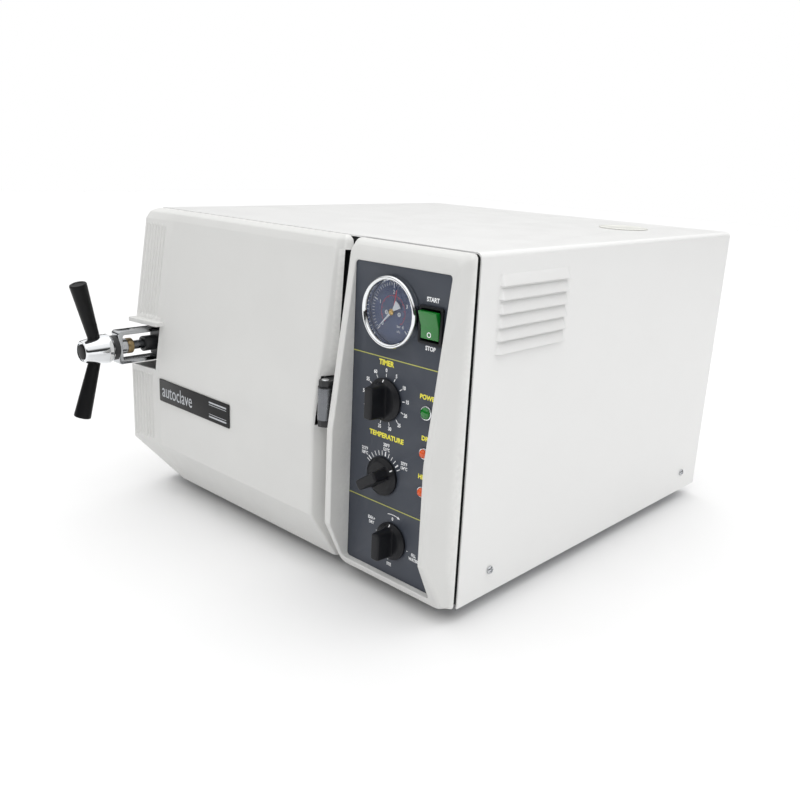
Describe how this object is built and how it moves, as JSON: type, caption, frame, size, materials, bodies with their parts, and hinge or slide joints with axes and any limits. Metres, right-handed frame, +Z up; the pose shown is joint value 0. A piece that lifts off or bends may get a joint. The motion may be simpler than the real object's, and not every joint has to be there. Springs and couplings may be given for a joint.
{
  "type": "benchtop autoclave",
  "caption": "White box-shaped benchtop steam steriliser with a left front door, screw-down black T handle and a recessed dark control panel with gauge, switch, knobs and lamps.",
  "frame": {"origin": "centre of the bounding box, on the surface that the feet stand on", "axes": "+X to the right seen from the front, +Y to the back, +Z up; the door and panel face -Y"},
  "size_m": [0.518, 0.6746, 0.3618],
  "materials": {
    "white_paint": "white textured powder coat on sheet steel",
    "grey_plastic": "light grey moulded plastic, fine texture",
    "bare_steel": "plain stainless sheet and bar",
    "polished_steel": "polished stainless",
    "chrome": "bright chrome plate",
    "black_plastic": "black moulded phenolic",
    "black_paint": "black paint on steel",
    "fascia": "printed dark blue-grey front foil",
    "rubber": "black rubber",
    "silicone": "off-white silicone",
    "brass": "turned brass",
    "copper": "drawn copper tube",
    "fibre_wool": "pressed fibre blanket",
    "white_plastic": "white moulded plastic",
    "clear_glass": "clear flat gauge glass",
    "green_lens": "translucent green",
    "orange_lens": "translucent orange",
    "red_plastic": "red moulded plastic"
  },
  "bodies": {
    "cabinet": {"base_pan": "bare_steel", "front_frame": "black_paint", "rear_panel": "white_paint", "outer_cover": "white_paint", "inner_frame": "bare_steel", "foot_front_left": "rubber", "foot_front_right": "rubber", "foot_rear_left": "rubber", "foot_rear_right": "rubber", "cover_screw_front_left": "bare_steel", "cover_screw_rear_left": "bare_steel", "cover_screw_front_right": "bare_steel", "cover_screw_rear_right": "bare_steel", "chamber": "bare_steel", "chamber_insulation": "fibre_wool", "heating_element": "bare_steel", "tray_rack": "bare_steel", "tray_lower": "polished_steel", "tray_upper": "polished_steel", "water_reservoir": "white_plastic", "safety_valve": "brass", "thermal_cutout": "black_plastic", "power_inlet": "black_plastic", "panel_bezel": "grey_plastic", "fascia_plate": "fascia", "gauge_case": "chrome", "gauge_dial": "black_plastic", "gauge_glass": "clear_glass", "switch_housing": "black_plastic", "timer_body": "black_plastic", "thermostat_body": "black_plastic", "valve_body": "brass", "power_lamp": "green_lens", "dry_lamp": "orange_lens", "heat_lamp": "orange_lens", "gauge_pipe": "copper", "steam_pipe": "copper", "fill_pipe": "copper", "hinge_bracket": "black_paint", "hinge_pin": "polished_steel", "latch_bracket": "bare_steel"},
    "door": {"door_cover": "grey_plastic", "door_bridge": "black_paint", "door_disc": "polished_steel", "door_gasket": "silicone", "nameplate": "black_plastic", "closing_yoke": "polished_steel"},
    "closing_collar": {"thrust_collar": "black_paint"},
    "closing_handle": {"closing_screw": "bare_steel", "handle_hub": "chrome", "handle_grip_upper": "black_plastic", "handle_grip_lower": "black_plastic"},
    "gauge_pointer": {"gauge_needle": "white_plastic"},
    "power_rocker": {"switch_rocker": "green_lens"},
    "timer": {"timer_knob": "black_plastic"},
    "thermostat": {"thermostat_knob": "black_plastic"},
    "valve": {"valve_knob": "black_plastic"},
    "reset": {"reset_button": "red_plastic"},
    "relief_ring": {"safety_valve_ring": "polished_steel"},
    "filler_lid": {"reservoir_lid": "white_plastic"}
  },
  "joints": [
    {"name": "door_hinge", "type": "hinge", "parent": "cabinet", "child": "door", "pos_m": [0.095, -0.2347, 0.192], "axis": [0, 0, 1], "range_deg": [0, 105]},
    {"name": "handle_travel", "type": "slide", "parent": "door", "child": "closing_collar", "axis": [0, 1, 0], "range_m": [-0.009, 0]},
    {"name": "handle_turn", "type": "hinge", "parent": "closing_collar", "child": "closing_handle", "pos_m": [-0.235, -0.3062, 0.1945], "axis": [0, 1, 0], "range_deg": [-1080, 0]},
    {"name": "pointer_swing", "type": "hinge", "parent": "cabinet", "child": "gauge_pointer", "pos_m": [0.1648, -0.2157, 0.2957], "axis": [0, 1, 0], "range_deg": [0, 270], "stiffness_Nm_per_rad": 0.0003},
    {"name": "rocker_tilt", "type": "hinge", "parent": "cabinet", "child": "power_rocker", "pos_m": [0.2143, -0.213, 0.291], "axis": [-1, 0, 0], "range_deg": [0, 12]},
    {"name": "timer_turn", "type": "hinge", "parent": "cabinet", "child": "timer", "pos_m": [0.16, -0.2147, 0.2085], "axis": [0, 1, 0], "range_deg": [0, 330]},
    {"name": "thermostat_turn", "type": "hinge", "parent": "cabinet", "child": "thermostat", "pos_m": [0.161, -0.2147, 0.1295], "axis": [0, 1, 0], "range_deg": [-165, 75]},
    {"name": "valve_turn", "type": "hinge", "parent": "cabinet", "child": "valve", "pos_m": [0.177, -0.2147, 0.0645], "axis": [0, 1, 0], "range_deg": [0, 270]},
    {"name": "reset_press", "type": "slide", "parent": "cabinet", "child": "reset", "axis": [0, -1, 0], "range_m": [0, 0.003], "stiffness_N_per_m": 300},
    {"name": "relief_pull", "type": "slide", "parent": "cabinet", "child": "relief_ring", "axis": [0, 1, 0], "range_m": [0, 0.004], "stiffness_N_per_m": 300},
    {"name": "lid_lift", "type": "slide", "parent": "cabinet", "child": "filler_lid", "axis": [0, 0, 1], "range_m": [0, 0.02]}
  ],
  "couplings": [
    {"joint": "handle_travel", "follows": "handle_turn", "m_per_rad": 0.00047746}
  ]
}
